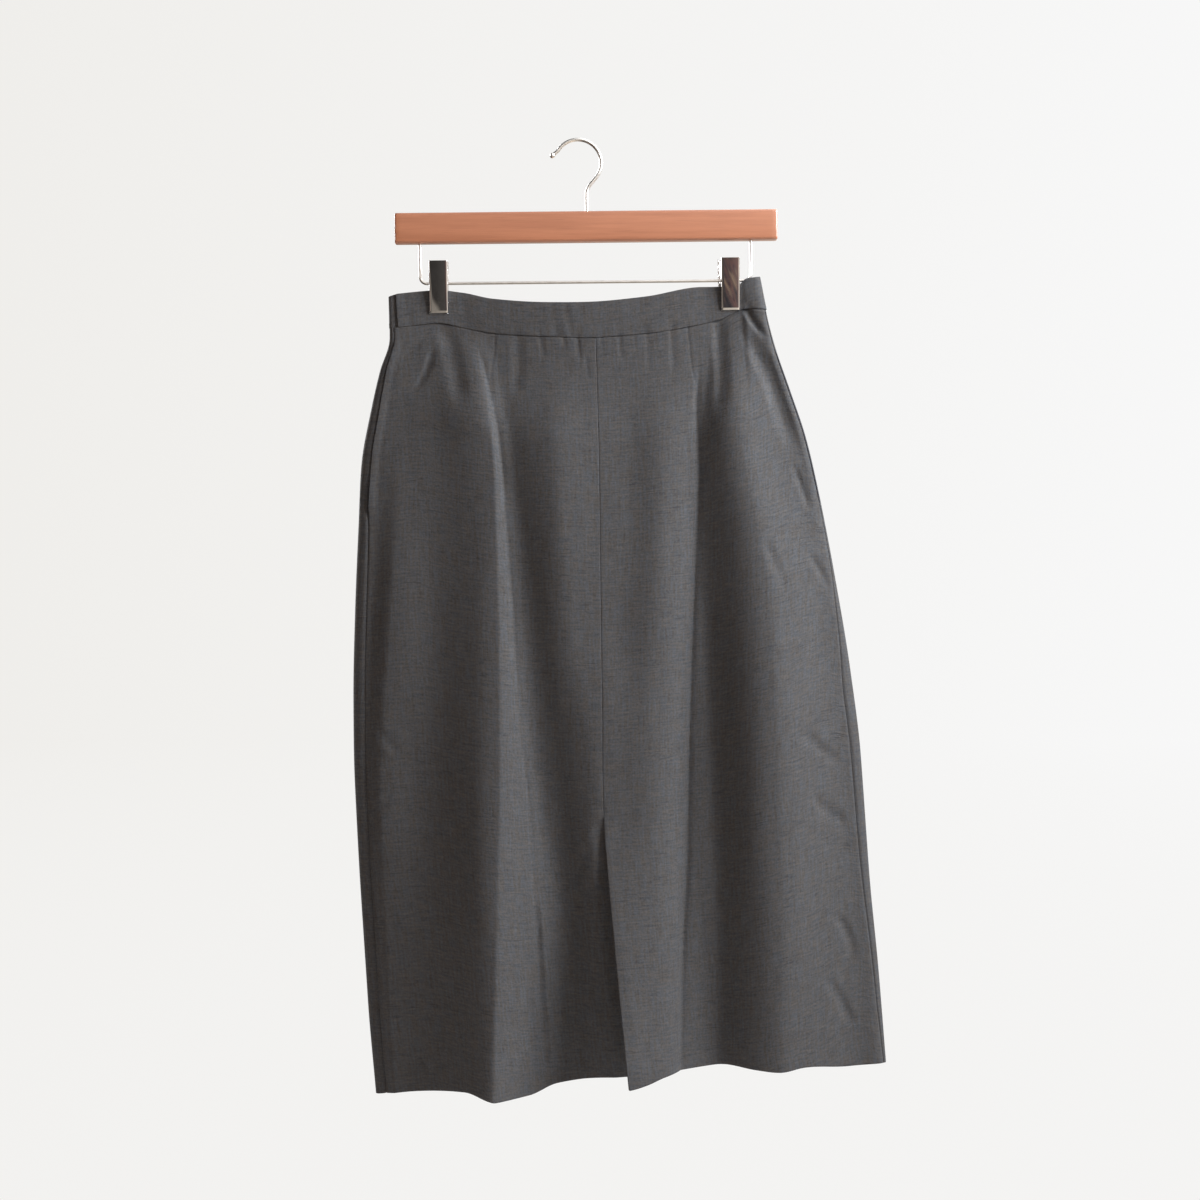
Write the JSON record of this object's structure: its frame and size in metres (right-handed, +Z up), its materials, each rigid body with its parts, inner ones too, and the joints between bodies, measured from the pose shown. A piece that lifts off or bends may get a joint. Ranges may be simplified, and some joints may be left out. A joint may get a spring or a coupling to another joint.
{
  "type": "a-line skirt on a clip hanger",
  "caption": "Charcoal a-line midi skirt with waistband, pressed front darts, side pockets and a centre vent, hanging from a wooden bar hanger by two chrome clips.",
  "frame": {"origin": "the point inside the hook's bend that bears on the rail or peg that holds the hanger", "axes": "+Z up, +X to the viewer's right with the front of the skirt facing -Y"},
  "size_m": [0.4963, 0.0752, 0.8893],
  "materials": {
    "cloth": "charcoal slubbed silk-blend plain weave with a low sheen",
    "pocketing": "plain dark lining cloth",
    "wood": "reddish-brown stained and satin varnished, fine straight grain",
    "chrome": "polished chrome plate"
  },
  "bodies": {
    "root": {"front_left": "cloth", "front_right": "cloth", "vent_facing": "cloth", "back": "cloth", "waistband_front": "cloth", "waistband_back": "cloth", "pocket_left": "pocketing", "pocket_right": "pocketing", "hook": "chrome", "hanger_bar": "wood", "frame_wire": "chrome", "clip_left_front": "chrome", "clip_left_back": "chrome", "clip_left_spring": "chrome", "clip_right_front": "chrome", "clip_right_back": "chrome", "clip_right_spring": "chrome"}
  },
  "joints": []
}
